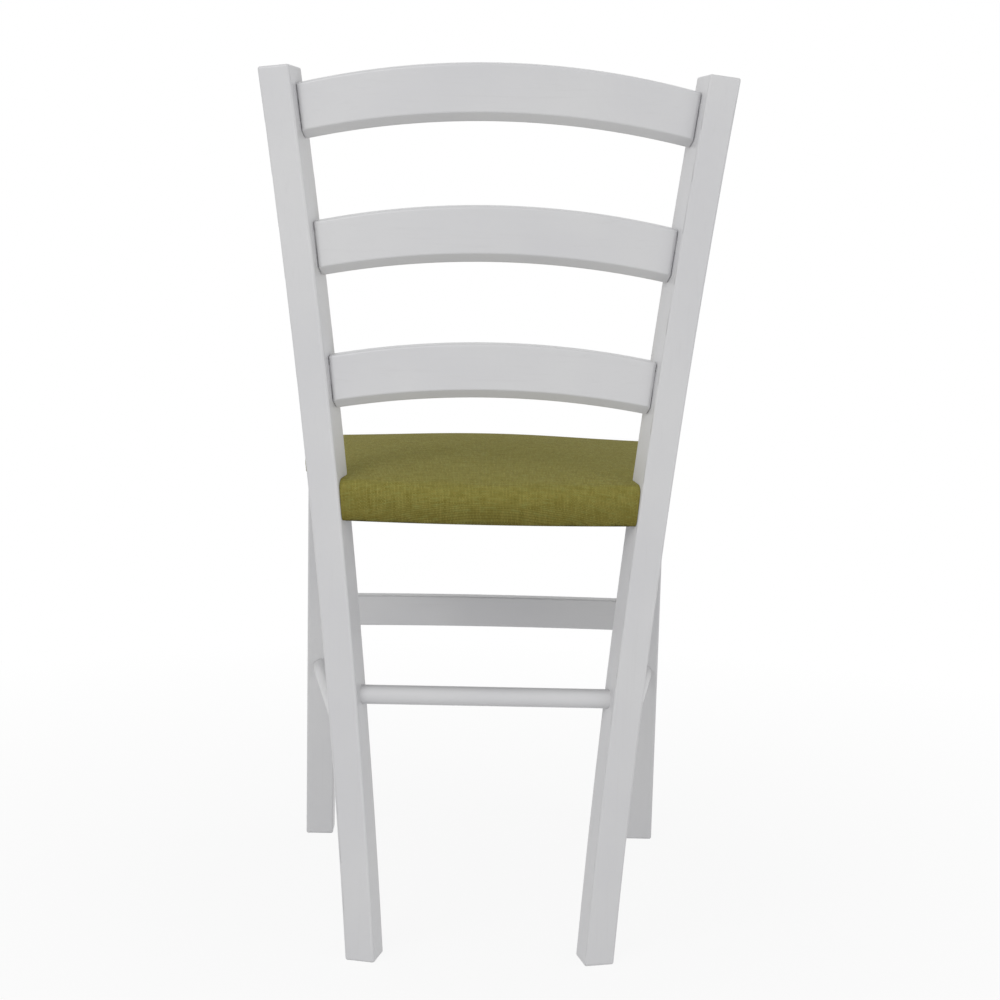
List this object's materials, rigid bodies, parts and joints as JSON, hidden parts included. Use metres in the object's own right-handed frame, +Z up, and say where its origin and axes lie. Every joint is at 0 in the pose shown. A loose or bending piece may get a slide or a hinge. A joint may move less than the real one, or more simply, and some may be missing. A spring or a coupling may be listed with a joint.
{
  "type": "ladderback side chair",
  "caption": "Wooden ladderback dining chair with arched back slats, splayed rear posts, round stretchers and a woven-fabric stuffed seat.",
  "frame": {"origin": "on the floor, under the middle of the chair's outline", "axes": "+Z up, -Y the way the sitter faces, +X to the sitter's left"},
  "size_m": [0.4294, 0.49, 0.8469],
  "materials": {
    "lacquered_wood": "satin white lacquer",
    "bare_wood": "bare beech",
    "plywood": "bare plywood",
    "foam": "soft foam",
    "seat_fabric": "coarse olive linen weave",
    "dust_cloth": "black felt",
    "steel": "zinc plated"
  },
  "bodies": {
    "root": {"rear_post_left": "lacquered_wood", "rear_post_right": "lacquered_wood", "slat_top": "lacquered_wood", "slat_middle": "lacquered_wood", "slat_bottom": "lacquered_wood", "front_leg_left": "lacquered_wood", "front_leg_right": "lacquered_wood", "front_rail": "lacquered_wood", "rear_stretcher": "lacquered_wood", "side_stretcher_left": "lacquered_wood", "side_stretcher_right": "lacquered_wood", "seat_rail_front": "bare_wood", "seat_rail_back": "bare_wood", "seat_rail_left": "bare_wood", "seat_rail_right": "bare_wood", "corner_block_front_left": "bare_wood", "corner_block_front_right": "bare_wood", "corner_block_rear_left": "bare_wood", "corner_block_rear_right": "bare_wood", "seat_board": "plywood", "seat_foam": "foam", "seat_cover": "seat_fabric", "dust_cloth": "dust_cloth", "block_screws": "steel", "board_screws": "steel"}
  },
  "joints": []
}
